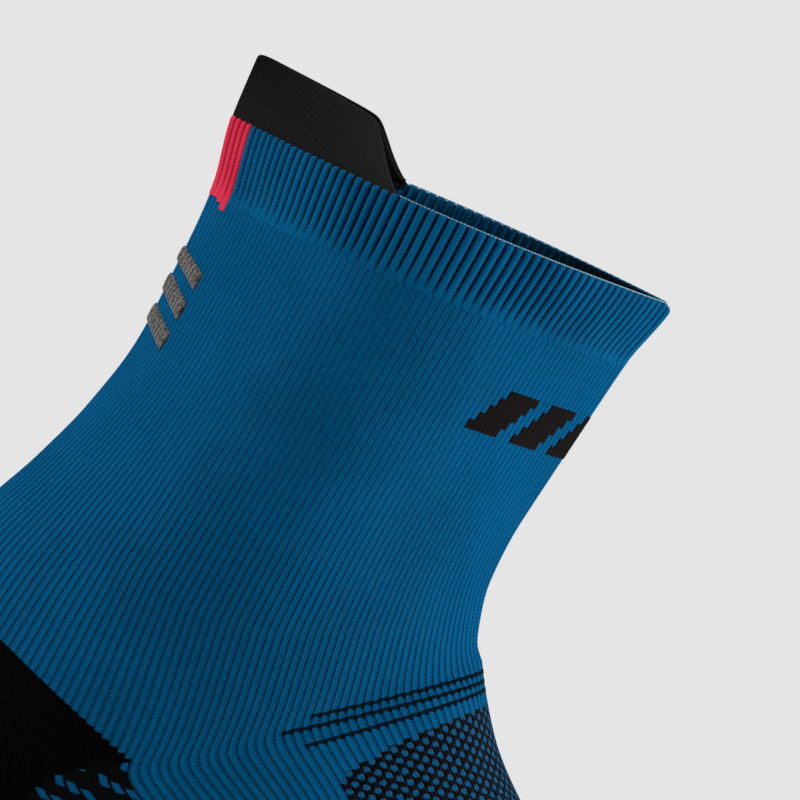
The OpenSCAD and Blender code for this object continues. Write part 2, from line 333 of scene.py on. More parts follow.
def look_up(table, t, wale):
    """Values of a table by course and wale, between its entries too."""
    row = np.clip(t / TOE_TIP, 0, 1 - 1e-9) * (len(TABLE_T) - 1)
    col = np.clip(np.abs(wale), 0, WALES - 1e-9)
    i, j = np.floor(row).astype(int), np.floor(col).astype(int)
    u, v = row - i, col - j
    near = table[i, j] * (1 - v) + table[i, j + 1] * v
    far = table[i + 1, j] * (1 - v) + table[i + 1, j + 1] * v
    return near * (1 - u) + far * u


def wrapped(wale):
    """Wale numbers past the back counted on from the other side's front."""
    return np.where(wale > WALES, wale - 2 * WALES, np.where(wale < -WALES, wale + 2 * WALES, wale))


def place(t, wale, height):
    """Points over the surface at courses t and wales, at heights in millimetres, in metres."""
    t, wale, height = np.broadcast_arrays(t, wrapped(wale), height)
    side = np.sign(wale)
    a = side * look_up(ANGLES, t, wale)
    points = skin(t, a) + height[..., None] * outward(t, a)
    # Shifts across are the same outward on both sides
    for k, way in enumerate((1, side, 1)):
        points[..., k] += way * look_up(TURNS[..., k], t, wale)
    # Inside a fold the two halves touch and don't cross
    points[..., 1] = side * np.maximum(side * points[..., 1], 0)
    return points / 1000


def course(t, wale, below_heel=False):
    """Number of the course at t, counted down from the rim or, below the heel, from its end."""
    t, wale = np.broadcast_arrays(t, wrapped(wale))
    start = look_up(RUN, np.full(t.shape, float(HEEL_END)), wale) if below_heel else 0
    return (look_up(RUN, t, wale) - start) / COURSE + RESTART * below_heel


# Each wale's path down the surface, seen from the side
PATHS = skin(TABLE_T[:, None], ANGLES) + TURNS
PATHS = PATHS[..., [0, 2]] + [FOOT_LENGTH / 2, 0]


def crossing(wale, start, end):
    """Stations where wales cross a line in the side view. Its ends are distances forward of the
    back of the heel and above the floor, in millimetres."""
    stations = []
    for w in np.abs(wrapped(wale)):
        j = min(int(w), WALES - 1)
        path = PATHS[:, j] + (PATHS[:, j + 1] - PATHS[:, j]) * (w - j)
        rise = (path[:, 1] - start[1]) * (end[0] - start[0])
        above = rise - (path[:, 0] - start[0]) * (end[1] - start[1])
        k = np.argmax(above < 0)
        stations.append(TABLE_T[k - 1] + TABLE_T[1] * above[k - 1] / (above[k - 1] - above[k]))
    return np.array(stations)


def further(t, wale, distance):
    """Stations a distance in millimetres further down each wale."""
    wales = np.abs(wrapped(wale))
    runs = look_up(RUN, t, wales) + distance
    stations = [np.interp(run, look_up(RUN, TABLE_T, w), TABLE_T) for run, w in zip(runs, wales)]
    return np.array(stations)


def at_wale_of_angle(t, angle):
    """Wale number at an angle on the course at t."""
    row = int(round(t / TOE_TIP * (len(TABLE_T) - 1)))
    return float(np.interp(angle, ANGLES[row], np.arange(WALES + 1)))


# ---- Meshes ----

def grid_mesh(name, points, uv):
    """A grid of points as a mesh. One UV map holds wale and course numbers, and the other is 1 on
    the knit's reverse side."""
    rows, cols = points.shape[:2]
    bm = bmesh.new()
    bm.loops.layers.uv.new("wales")
    bm.loops.layers.uv.new("side")
    bmesh.ops.create_grid(bm, x_segments=cols - 1, y_segments=rows - 1, size=0.5)
    mesh = bpy.data.meshes.new(name)
    bm.to_mesh(mesh)
    bm.free()
    flat = np.empty(len(mesh.vertices) * 3)
    mesh.vertices.foreach_get("co", flat)
    flat = flat.reshape(-1, 3)[:, :2]
    unit = (flat - flat.min(0)) / np.ptp(flat, axis=0)
    at = np.rint(unit * [cols - 1, rows - 1]).astype(int)
    mesh.vertices.foreach_set("co", points[at[:, 1], at[:, 0]].ravel())
    corner = np.empty(len(mesh.loops), int)
    mesh.loops.foreach_get("vertex_index", corner)
    for layer, k in (("wales", 0), ("side", 2)):
        values = uv[at[:, 1], at[:, 0], k:k + 2][corner]
        mesh.uv_layers[layer].data.foreach_set("uv", values.ravel())
    return mesh


def make_piece(name, grids, material, sharp=55):
    """One object from grids of (points, uv), with doubles merged, ends closed and faces outward."""
    bm = bmesh.new()
    for points, uv in grids:
        mesh = grid_mesh(name, points, uv)
        bm.from_mesh(mesh)
        bpy.data.meshes.remove(mesh)
    bmesh.ops.remove_doubles(bm, verts=bm.verts, dist=2e-6)
    bmesh.ops.holes_fill(bm, edges=[e for e in bm.edges if e.is_boundary], sides=0)
    bmesh.ops.recalc_face_normals(bm, faces=bm.faces)
    mesh = bpy.data.meshes.new(name)
    bm.to_mesh(mesh)
    bm.free()
    mesh.shade_smooth()
    mesh.set_sharp_from_angle(angle=math.radians(sharp))
    mesh.materials.append(material)
    piece = bpy.data.objects.new(name, mesh)
    bpy.context.scene.collection.objects.link(piece)
    return piece


def columns(first, last, parts):
    """Wale or rib numbers of the columns of points, with the given parts of each."""
    whole = np.arange(first, last)
    return np.append((whole[:, None] + np.array(parts)[None, :]).ravel(), last)


def loop_rows(rows, numbers, per_side, reverse=None):
    """Grid of points and UVs down a list of (station, height) rows, closed back to the first row.
    Rows from number reverse on are the knit's reverse side."""
    wale = numbers * WALES / per_side
    below_heel = min(np.min(t) for t, height in rows) >= HEEL_END
    points = []
    uv = []
    for k, (t, height) in enumerate(rows + rows[:1]):
        t = np.broadcast_to(t, wale.shape)
        inside = float(reverse is not None and reverse <= k < len(rows))
        points.append(place(t, wale, height))
        row = -course(t, wale, below_heel)
        uv.append(np.stack([numbers, row, inside + 0 * numbers, 0 * numbers], -1))
    return np.array(points), np.array(uv)


# Relief across one wale, as parts of its width and heights there. In the leg's plain knit a deep
# furrow lies between wales, and a shallow one between a stitch's two legs. Black knit is smoother.
SHALLOW = -0.3 * FURROW
JERSEY = ((0, 0.15, 0.33, 0.5, 0.67, 0.85), (-FURROW, SHALLOW, 0.02, SHALLOW, 0.02, SHALLOW))
SMOOTH = ((0, 0.33, 0.67), (-0.05, 0, 0))
LOOPS = ((0, 0.5), (0, 0))


def relief(numbers, shape):
    parts, heights = shape
    return np.interp(numbers % 1, (*parts, 1), (*heights, heights[0]))


def knit_grid(start, end, first, last, shape=JERSEY, top=0, wall=WALL, step=2):
    """A patch of plain knit between two courses and two wales, down the outside and up the inside.
    start and end are stations, or functions that give the station at each wale."""
    numbers = columns(first, last, shape[0])
    down = start(numbers) if callable(start) else np.full(numbers.shape, float(start))
    to = end(numbers) if callable(end) else np.full(numbers.shape, float(end))
    reach = np.max(np.abs(course(to, numbers) - course(down, numbers))) * COURSE
    count = max(2, math.ceil(reach / step))
    outside = top + relief(numbers, shape)
    rows = [(down + (to - down) * k / count, outside) for k in range(count + 1)]
    back = max(2, count // 2)
    rows += [(to + (down - to) * k / back, outside * 0 + top - wall) for k in range(back + 1)]
    return loop_rows(rows, numbers, WALES, reverse=count + 1)


# ---- Materials ----

def linear(code):
    """An sRGB hex colour as linear RGBA."""
    parts = [int(code[k:k + 2], 16) / 255 for k in (1, 3, 5)]
    return [c / 12.92 if c <= 0.04045 else ((c + 0.055) / 1.055) ** 2.4 for c in parts] + [1]


def add(tree, kind, inputs=(), **settings):
    """Adds a node with its settings. inputs are values or sockets, by number or name."""
    node = tree.nodes.new(kind)
    for key, value in settings.items():
        setattr(node, key, value)
    for key, value in dict(inputs).items():
        if isinstance(value, bpy.types.NodeSocket):
            tree.links.new(value, node.inputs[key])
        else:
            node.inputs[key].default_value = value
    return node


def maths(tree, operation, *values):
    return add(tree, "ShaderNodeMath", enumerate(values), operation=operation).outputs[0]


def times(tree, a, b):
    return maths(tree, "MULTIPLY", a, b)


def plus(tree, a, b):
    return maths(tree, "ADD", a, b)


def wave(tree, value):
    """0 at whole numbers, 0.5 halfway between them, and straight between."""
    return maths(tree, "PINGPONG", value, 0.5)


def smooth(tree, value, low, high, out_low=0.0, out_high=1.0):
    """Soft step from out_low to out_high as the value goes from low to high."""
    node = add(tree, "ShaderNodeMapRange", {"Value": value}, interpolation_type="SMOOTHSTEP")
    numbers = {"From Min": low, "From Max": high, "To Min": out_low, "To Max": out_high}
    for key, number in numbers.items():
        node.inputs[key].default_value = number
    return node.outputs[0]


def blend(tree, share, low, high):
    """Mix of two colours, each a hex code or a socket."""
    node = add(tree, "ShaderNodeMix", {"Factor": share}, data_type="RGBA")
    for socket, value in ((node.inputs[6], low), (node.inputs[7], high)):
        if isinstance(value, str):
            socket.default_value = linear(value)
        else:
            tree.links.new(value, socket)
    return node.outputs[2]


def yarn_material(name, roughness=0.9, sheen=0.2, tint="#ffffff"):
    """Matt yarn, lit up softly at its edges by the sheen of its loose fibres."""
    material = bpy.data.materials.new(name)
    material.use_nodes = True
    tree = material.node_tree
    shader = tree.nodes["Principled BSDF"]
    shader.inputs["Roughness"].default_value = roughness
    shader.inputs["Specular IOR Level"].default_value = 0.03
    shader.inputs["Sheen Weight"].default_value = sheen
    shader.inputs["Sheen Roughness"].default_value = 0.45
    shader.inputs["Sheen Tint"].default_value = linear(tint)
    return material, tree, shader


def knit_numbers(tree):
    """Wale and course numbers from the piece's own UV map."""
    uv = add(tree, "ShaderNodeUVMap", uv_map="wales")
    parts = add(tree, "ShaderNodeSeparateXYZ", {0: uv.outputs[0]})
    return parts.outputs[0], parts.outputs[1]


def reverse_in_shade(tree):
    """1 on the knit's reverse, the sock's inside, where the knits darken their colour as painted
    shade.
    """
    uv = add(tree, "ShaderNodeUVMap", uv_map="side")
    return add(tree, "ShaderNodeSeparateXYZ", {0: uv.outputs[0]}).outputs[0]


def stitches(tree, wale, row, slant=0.55):
    """Height of plain knit, 0 to 1: each stitch's two legs lean out and up from its middle."""
    middle = times(tree, wave(tree, wale), 2.0)
    phase = plus(tree, row, times(tree, middle, slant))
    strand = smooth(tree, wave(tree, phase), 0.0, 0.42)
    between = smooth(tree, middle, 0.0, 0.42)
    inside = smooth(tree, middle, 0.62, 1.0, 1.0, 0.45)
    body = plus(tree, times(tree, strand, 0.6), 0.4)
    return times(tree, times(tree, body, between), inside)


def fuzz(tree, size, detail=3.0):
    """Even noise from 0 to 1 with features of the given size in millimetres."""
    at = add(tree, "ShaderNodeTexCoord").outputs["Object"]
    inputs = {"Vector": at, "Scale": 1000 / size, "Detail": detail}
    return add(tree, "ShaderNodeTexNoise", inputs).outputs[0]


def bump(tree, shader, height, depth):
    """Bumps of the given depth in millimetres."""
    node = add(tree, "ShaderNodeBump", {"Height": height, "Distance": depth / 1000, "Strength": 0.8})
    tree.links.new(node.outputs[0], shader.inputs["Normal"])


def jersey(name, light, dark, low, high, depth=0.15, sheen=0, tint="#ffffff"):
    """Plain knit of textured polyamide: a light ridge up the middle of each wale, and between the
    wales a furrow darkened as painted shade, dotted by the stitches, with painted shade in the
    stitches' hollows too. It opens up, and its painted shade is deeper, where it stretches."""
    material, tree, shader = yarn_material(name, sheen=sheen, tint=tint)
    wale, row = knit_numbers(tree)
    height = stitches(tree, wale, row)
    tone = smooth(tree, fuzz(tree, 22), 0.3, 0.7)
    top = blend(tree, tone, low, high)
    strands = blend(tree, times(tree, fuzz(tree, 0.7), 0.8), top, light)
    # Painted shade: the furrows between the wales, lighter at the stitches' dots, and the hollows of
    # the stitches are darkened towards the dark colour
    middle = times(tree, wave(tree, wale), 2.0)
    dots = smooth(tree, wave(tree, row), 0.1, 0.4, 0.0, 0.5)
    sunk = smooth(tree, middle, 0.2, 0.75, 1.0, 0.0)
    stretched = smooth(tree, row, -RESTART, -RESTART / 2, 0.8, 0.4)
    between = maths(tree, "SUBTRACT", sunk, times(tree, dots, sunk))
    shaded = smooth(tree, height, 0.0, 0.5, 0.3, 0.0)
    share = maths(tree, "MAXIMUM", times(tree, between, stretched), times(tree, shaded, stretched))
    colour = blend(tree, share, strands, dark)
    # Painted shade on the knit's inside: its colour goes most of the way to the dark colour
    colour = blend(tree, times(tree, reverse_in_shade(tree), 0.7), colour, dark)
    tree.links.new(colour, shader.inputs["Base Color"])
    bump(tree, shader, plus(tree, times(tree, fuzz(tree, 0.35), 0.3), height), depth)
    return material


def rib_knit(name, top, furrow, high, tint):
    """One-by-one rib: broad raised wales with faint slanted strands, and sunk wales between,
    which close up over the last courses. The sunk wales and the gaps between the strands are
    darkened towards the furrow colour as painted shade."""
    material, tree, shader = yarn_material(name, sheen=0.15, tint=tint)
    rib, row = knit_numbers(tree)
    middle = times(tree, wave(tree, rib), 2.0)
    phase = plus(tree, row, times(tree, middle, 0.7))
    strand = smooth(tree, wave(tree, phase), 0.0, 0.4)
    raised = smooth(tree, middle, 0.14, 0.4)
    # Each rib closes up at a course of its own
    uneven = maths(tree, "FRACT", times(tree, maths(tree, "ROUND", rib), 0.618))
    closed = smooth(tree, plus(tree, row, times(tree, uneven, 2.7)), -19.6, -15.4, 1.0, 0.0)
    raised = maths(tree, "MAXIMUM", raised, times(tree, closed, 0.9))
    tone = blend(tree, smooth(tree, fuzz(tree, 14), 0.3, 0.7), top, high)
    # The raised wales take some furrow colour between their strands, as painted shade, and some at
    # random; the sunk wales take nearly all of it, as painted shade
    light = plus(tree, times(tree, strand, 0.2), times(tree, fuzz(tree, 0.3), 0.35))
    knitted = blend(tree, plus(tree, light, 0.55), furrow, tone)
    sunk = blend(tree, times(tree, strand, 0.25), furrow, tone)
    colour = blend(tree, raised, sunk, knitted)
    # Painted shade on the inside: it is darkened towards the furrow colour, most towards the front,
    # where the two walls meet and less light reaches it
    shade = smooth(tree, maths(tree, "ABSOLUTE", rib), 12, 34, 1.0, 0.3)
    colour = blend(tree, times(tree, reverse_in_shade(tree), shade), colour, furrow)
    tree.links.new(colour, shader.inputs["Base Color"])
    bump(tree, shader, plus(tree, times(tree, strand, 0.5), times(tree, fuzz(tree, 0.4), 0.6)), 0.08)
    return material


def tuck_mesh(name, ground, blob):
    """Tuck-stitch mesh: a black ground with small raised blue loops in a chequer."""
    material, tree, shader = yarn_material(name, sheen=0.08)
    wale, row = knit_numbers(tree)
    height = stitches(tree, wale, row)
    turn = times(tree, maths(tree, "FLOOR", wale), 0.5)
    phase = plus(tree, maths(tree, "DIVIDE", row, 3.2), turn)
    along = times(tree, wave(tree, phase), 2.0)
    across = maths(tree, "POWER", times(tree, wave(tree, wale), 2.0), 0.4)
    wobble = times(tree, fuzz(tree, 0.6), 0.8)
    loop = smooth(tree, plus(tree, times(tree, along, across), wobble), 0.74, 0.95)
    # Painted shade: the blue loops are darker where the stitches sink
    lit = smooth(tree, height, 0.0, 0.5, 0.45, 1.0)
    colour = blend(tree, times(tree, loop, lit), ground, blob)
    tree.links.new(colour, shader.inputs["Base Color"])
    bump(tree, shader, plus(tree, loop, times(tree, height, 0.5)), 0.35)
    return material


def dash_jacquard(name, ground, dash):
    """Black float jacquard with slanting rows of short blue dashes, one wale wide and three
    courses long."""
    material, tree, shader = yarn_material(name, sheen=0.04)
    wale, row = knit_numbers(tree)
    height = stitches(tree, wale, row)
    whole = maths(tree, "FLOOR", wale)
    phase = maths(tree, "DIVIDE", plus(tree, row, times(tree, whole, 1.07)), 8.7)
    line = maths(tree, "COMPARE", maths(tree, "FRACT", phase), 0.3, 0.19)
    # No dash in every sixth wale
    sixth = maths(tree, "FRACT", maths(tree, "DIVIDE", whole, 6.0))
    dashed = maths(tree, "GREATER_THAN", sixth, 0.1)
    across = smooth(tree, wave(tree, wale), 0.08, 0.25)
    share = times(tree, times(tree, line, dashed), across)
    tree.links.new(blend(tree, share, ground, dash), shader.inputs["Base Color"])
    bump(tree, shader, height, 0.25)
    return material


def melange_rib(name, light, dark):
    """Raised melange yarn: pale and dark fibres twisted together, knitted in a thick rib."""
    material, tree, shader = yarn_material(name, sheen=0.3)
    wale, row = knit_numbers(tree)
    height = stitches(tree, wale, row)
    fibres = blend(tree, smooth(tree, fuzz(tree, 0.5, 4.0), 0.35, 0.65), dark, light)
    # Painted shade: darker towards the dark colour where the stitches sink
    colour = blend(tree, smooth(tree, height, 0.0, 0.55, 0.35, 1.0), dark, fibres)
    tree.links.new(colour, shader.inputs["Base Color"])
    bump(tree, shader, plus(tree, height, fuzz(tree, 0.4)), 0.3)
    return material


def terry(name, colour, dark):
    """Looped pile: small soft loops standing off the knit."""
    material, tree, shader = yarn_material(name, roughness=0.95, sheen=0.3)
    at = add(tree, "ShaderNodeTexCoord").outputs["Object"]
    loops = add(tree, "ShaderNodeTexVoronoi", {"Vector": at, "Scale": 1000 / 1.1}).outputs[0]
    # Painted shade: darker between the loops, where the pile sinks
    mixed = blend(tree, smooth(tree, loops, 0.1, 0.7), colour, dark)
    tree.links.new(mixed, shader.inputs["Base Color"])
    bump(tree, shader, maths(tree, "SUBTRACT", 1.0, loops), 0.6)
    return material


def thread(name, light, dark):
    """Casting-off thread: two twisted plies, with painted shade in the grooves between them, so dark
    lines cross it at a slant.
    """
    material, tree, shader = yarn_material(name, roughness=0.7, sheen=0.2)
    around, along = knit_numbers(tree)
    ply = smooth(tree, wave(tree, plus(tree, around, along)), 0.02, 0.3)
    tree.links.new(blend(tree, ply, dark, light), shader.inputs["Base Color"])
    bump(tree, shader, ply, 0.1)
    return material


# Colours of each plain knit: its ridges, the painted shade of its furrows, hollows and inside, and
# the two tones beside the ridges
BLUE = ("#005a88", "#001a2a", "#003350", "#00436a")
BLACK = ("#020203", "#000001", "#010102", "#020203")
CHARCOAL = ("#151516", "#040405", "#0c0c0d", "#111112")
WARM_BLACK = ("#171110", "#040303", "#0c0908", "#100c0b")
NAVY_BLACK = ("#03141f", "#010a10", "#021019", "#02121c")
BLUE_KNIT = jersey("blue_polyamide_jersey", *BLUE, sheen=0.58, tint="#0086d0")
BLACK_KNIT = jersey("black_polyamide_jersey", *BLACK)
TAB_KNIT = jersey("charcoal_polyamide_jersey", *CHARCOAL, depth=0.1, sheen=0.03)
MOTIF_KNIT = jersey("black_jacquard_stitches", *WARM_BLACK, depth=0.25, sheen=0.02)
# Colours of each rib: one tone of its raised wales, the painted shade of its sunk wales and inside,
# the other tone, and its sheen's tint
BLUE_RIB = rib_knit("blue_polyamide_rib", "#004c75", "#00080f", "#005783", "#0a86d0")
RED_RIB = rib_knit("red_polyamide_rib", "#c2203a", "#7a1024", "#d0304a", "#ff90a0")
MESH_KNIT = tuck_mesh("tuck_stitch_mesh", "#000306", "#00476f")
DASH_KNIT = dash_jacquard("dashed_float_jacquard", "#020304", "#00466f")
LINE_KNIT = jersey("navy_black_stitches", *NAVY_BLACK)
MELANGE = melange_rib("raised_melange_rib", "#6d6a66", "#2b2827")
TERRY = terry("looped_pile", "#0b0b0d", "#020203")
RIM_YARN = thread("casting_off_thread", "#7f9daa", "#2f5166")


# ---- Pieces ----

# Relief across one rib, and the dip of the rim at the fold in front: its depth in millimetres and
# its reach in ribs
RIB = (
    (0, 0.08, 0.16, 0.24, 0.5, 0.76, 0.84, 0.92),
    (-0.85, -0.7, -0.1, 0.14, 0.22, 0.14, -0.1, -0.7),
)
DIP_DEPTH = 1.5
DIP_RIBS = 1.8


def rib_crest(numbers):
    """1 along the middle of each rib and 0 in the furrows."""
    return 0.5 - 0.5 * np.cos(2 * np.pi * numbers)


def rim_dip(numbers):
    """How far the rim dips at each rib, in millimetres."""
    return DIP_DEPTH * np.maximum(0, 1 - np.abs(numbers) / DIP_RIBS) ** 2


def ribbed_band(first, last, ends=lambda numbers: CUFF_END, lift=0, depth=1):
    """Ribbed welt: scalloped along the rim, ribbed inside as outside, and flat at its last course."""
    numbers = columns(first, last, RIB[0])
    end = ends(numbers)
    ribs = depth * relief(numbers, RIB)
    crest = rib_crest(numbers)
    lip = RIM - (0.15 * (crest - 0.5) - rim_dip(numbers)) / TAB_LEVEL
    # The ribs rise over the last courses, run up to the lip and turn over it
    rows = [(end, lift + ribs * 0.02), (end - 0.1, lift + ribs * 0.12)]
    rows += [(end - 0.22, lift / 2 + ribs * 0.4), (end - 0.36, ribs * 0.8)]
    for k in range(1, 12):
        rows.append((end - 0.36 + (lip - end + 0.36 + 0.02) * k / 11, ribs))
    rows.append((lip + 0.005 * crest, ribs - 0.12))
    rows.append((lip - 0.01 * crest, ribs * 0.6 - 0.35))
    rows.append((lip - 0.01 * crest, -0.75 - 0.1 * crest))
    inside = -WALL + 0.55 * crest
    reverse = len(rows)
    rows.append((lip + 0.01, inside + 0.15))
    for k in range(0, 7):
        rows.append((lip + 0.03 + (end - lip - 0.03) * k / 6, inside))
    return loop_rows(rows, numbers, RIBS, reverse)


def cuff():
    edge = RIBS - STRIPE_RIBS
    piece = make_piece("cuff_rib_knit", [ribbed_band(-edge, edge)], BLUE_RIB, sharp=75)
    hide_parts("cuff_rib")
    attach(piece, "leg")


def stripe_end(numbers):
    """The stripe's last course: a step down at each rib, and a point at each side."""
    off = np.floor(np.abs(numbers - RIBS) + 0.01)
    return CUFF_END + np.array([0, 0, 0.04, 0.12, 0.12])[off.astype(int)]


def stripe():
    edge = RIBS - STRIPE_RIBS
    band = ribbed_band(edge, 2 * RIBS - edge, stripe_end, lift=0.12, depth=0.45)
    piece = make_piece("stripe_rib_knit", [band], RED_RIB, sharp=75)
    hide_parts("back_stripe")
    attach(piece, "leg")


def tab_top(wale):
    """Station of the heel tab's top edge at each wale: level, with a rounded corner at each side."""
    a = look_up(ANGLES, np.full(wale.shape, float(RIM)), wrapped(wale))
    points = skin(RIM, a)
    off = 180 - np.abs(a)
    dip = TAB_DIP * np.maximum(0, 1 - off / TAB_DIP_ANGLE) ** 2
    climb = TAB_CLIMB * (points[..., 0] - skin(RIM, 180)[0])
    rise = RIM_BACK + TAB_RISE + climb - dip - points[..., 2]
    level = rise / (TAB_LEVEL * math.cos(RIM_SLOPE))
    edge = (TAB_ANGLE - off) * TAB_SIDE + 0.02
    share = (level + edge - np.sqrt((level - edge) ** 2 + 0.004)) / 2
    return RIM - np.maximum(0.03, share)


TAB_WALE = at_wale_of_angle(RIM, 180 - TAB_ANGLE)
TAB_TAPER = 0.62


def tab_grid(outer, inner, rolled):
    """The tab's cloth from just under the rim to its top edge, between two heights."""
    span = WALES - TAB_WALE
    numbers = np.linspace(TAB_WALE, TAB_WALE + 2 * span, 240)
    top = tab_top(numbers)
    foot = np.full(numbers.shape, RIM + 0.1)
    swell = (outer - inner) * 0.5
    middle = (outer + inner) / 2
    rows = [(foot + (top - foot) * k / 12, outer + 0 * top) for k in range(12)]
    for angle in np.linspace(0, math.pi, 7):
        rise = math.sin(angle) * swell / TAB_LEVEL * rolled
        rows.append((top - rise, middle + math.cos(angle) * swell + 0 * top))
    rows += [(top + (foot - top) * k / 6, inner + 0 * top) for k in range(1, 7)]
    points, uv = loop_rows(rows, numbers, WALES)
    share = np.array([np.maximum(0, RIM - t) for t, height in rows + rows[:1]])
    points[..., 1] *= 1 - TAB_TAPER * share
    return points, uv


def heel_tab():
    piece = make_piece("heel_tab_cloth", [tab_grid(-0.25, -1.0, 1.2)], TAB_KNIT, sharp=80)
    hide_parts("heel_tab")
    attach(piece, "leg")


def heel_tab_lining():
    piece = make_piece("heel_tab_lining_cloth", [tab_grid(-1.02, -1.7, 0.6)], TAB_KNIT, sharp=80)
    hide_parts("heel_tab_lining")
    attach(piece, "leg")


def twisted_tube(path, radius, ply_length):
    """A thread along a path, whose UVs turn round it once in each ply length. All in metres."""
    along = np.gradient(path, axis=0)
    # Where both sides of the rim's fold touch, the thread still runs across
    along[:, 1] += 1e-7
    along /= np.linalg.norm(along, axis=1, keepdims=True)
    side = np.cross(along, np.array([0.0, 0.0, 1.0]))
    side /= np.linalg.norm(side, axis=1, keepdims=True)
    up = np.cross(side, along)
    turns = lengths(path[None])[0] / ply_length
    none = 0 * turns
    rings = []
    uv = []
    for k, a in enumerate(np.linspace(0, 2 * math.pi, 7)):
        rings.append(path + radius * (math.cos(a) * side + math.sin(a) * up))
        uv.append(np.stack([none + k / 6, turns, none, none], -1))
    return np.array(rings), np.array(uv)


def rim_thread():
    """A thin thread that runs over the scalloped ends of the ribs, except behind the tab."""
    reach = math.floor(TAB_WALE * RIBS / WALES)
    numbers = np.linspace(-reach, reach, 2 * reach * 8 + 1)
    crest = rib_crest(numbers)
    above = 0.12 + 0.03 * crest - rim_dip(numbers)
    path = place(RIM - above / TAB_LEVEL, numbers * WALES / RIBS, -0.3 + 0.1 * crest)
    tube = twisted_tube(path, radius=0.00013, ply_length=0.0008)
    piece = make_piece("casting_off_thread", [tube], RIM_YARN, sharp=90)
    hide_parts("rim_thread")
    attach(piece, "leg")


def leg():
    piece = make_piece("leg_knit", [knit_grid(CUFF_END, LEG_END, -WALES, WALES)], BLUE_KNIT)
    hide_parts("leg_tube")
    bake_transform(piece)


def heel_edge(wale):
    """Station of the heel pocket's upper edge, a step at each wale, and the gusset's at the front."""
    off = np.floor(np.abs(wrapped(wale)))
    line = crossing(off + 0.5, HEEL_EDGE_BACK, HEEL_EDGE_FRONT)
    return np.where(off < BLACK_EDGE, HEEL_START, np.clip(line, LEG_END + 0.5, HEEL_START))


def dash_start(wale):
    """Station where the heel pocket gives way to the dashed panel, a step at each wale."""
    off = np.floor(np.abs(wrapped(wale)))
    slanted = np.interp(off, (BLACK_EDGE, SOLE_WALE), DASH_START)
    return np.where(off < SOLE_WALE, slanted, HEEL_END)


def ankle():
    piece = make_piece("ankle_knit", [knit_grid(LEG_END, heel_edge, -WALES, WALES)], BLUE_KNIT)
    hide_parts("ankle_tube")
    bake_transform(piece)


def mesh_start(wale):
    """Station of the instep mesh's upper edge: it steps down by two wales at a time."""
    stepped = np.floor(np.abs(wrapped(wale)) / 2) * 2
    return MESH_START + MESH_DROP * (stepped / MESH_EDGE) ** MESH_CURVE


def gusset():
    grids = [
        knit_grid(HEEL_START, HEEL_END, -BLACK_EDGE, BLACK_EDGE, step=0.8),
        knit_grid(HEEL_END, mesh_start, -MESH_EDGE, MESH_EDGE),
    ]
    piece = make_piece("gusset_knit", grids, BLUE_KNIT)
    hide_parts("instep_gusset")
    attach(piece, "foot")


def instep_mesh():
    grid = knit_grid(mesh_start, FOREFOOT_START, -MESH_EDGE, MESH_EDGE)
    piece = make_piece("instep_mesh", [grid], MESH_KNIT)
    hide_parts("instep_panel")
    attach(piece, "foot")


def side_grid(side, start, end, near, far):
    """Plain knit between two wales of one side: 1 for the left and -1 for the right."""
    first, last = sorted((side * near, side * far))
    return knit_grid(start, end, first, last)


def foot_sides():
    for side in (-1, 1):
        side_name = "left" if side > 0 else "right"
        grids = [
            side_grid(side, HEEL_END, ARCH_START, MESH_EDGE, BLACK_EDGE),
            side_grid(side, ARCH_END, FOREFOOT_START, MESH_EDGE, SOLE_WALE),
        ]
        piece = make_piece("foot_knit_" + side_name, grids, BLUE_KNIT)
        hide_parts("foot_top")
        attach(piece, "foot")
        grid = side_grid(side, dash_start, ARCH_START, BLACK_EDGE, SOLE_WALE)
        piece = make_piece("side_jacquard_" + side_name, [grid], DASH_KNIT)
        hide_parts("side_panel_" + side_name)
        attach(piece, "foot")
        grid = side_grid(side, ARCH_START, ARCH_END, MESH_EDGE, SOLE_WALE)
        piece = make_piece("arch_knit_" + side_name, [grid], BLUE_KNIT)
        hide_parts("arch_band")
        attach(piece, "foot")


def heel():
    grid = knit_grid(heel_edge, dash_start, BLACK_EDGE, 2 * WALES - BLACK_EDGE)
    piece = make_piece("heel_knit", [grid], BLACK_KNIT)
    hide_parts("heel_pocket")
    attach(piece, "foot")


def sole():
    grid = knit_grid(HEEL_END, FOREFOOT_START, SOLE_WALE, FAR_SOLE_WALE, SMOOTH)
    piece = make_piece("sole_knit", [grid], BLACK_KNIT)
    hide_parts("sole_panel")
    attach(piece, "foot")


def forefoot():
    grid = knit_grid(FOREFOOT_START, TOE_START, -SOLE_WALE, SOLE_WALE)
    top = make_piece("forefoot_knit", [grid], BLUE_KNIT)
    grid = knit_grid(FOREFOOT_START, TOE_START, SOLE_WALE, FAR_SOLE_WALE, SMOOTH)
    under = make_piece("ball_knit", [grid], BLACK_KNIT)
    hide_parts("forefoot_top")
    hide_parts("forefoot_sole")
    for piece, name, width in ((top, "knit_blue", 0.15), (under, "knit_black", 0.07)):
        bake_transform(piece)


def toe():
    grid = knit_grid(TOE_START, TOE_TIP, -WALES, WALES, SMOOTH)
    piece = make_piece("toe_knit", [grid], BLACK_KNIT)
    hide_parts("toe_pocket")
    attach(piece, "toe")


def pile(name, start, end, first, last):
    """Looped pile against the inside of the knit."""
    grid = knit_grid(start, end, first, last, LOOPS, top=-WALL - PILE_GAP, wall=PILE)
    return make_piece(name, [grid], TERRY)


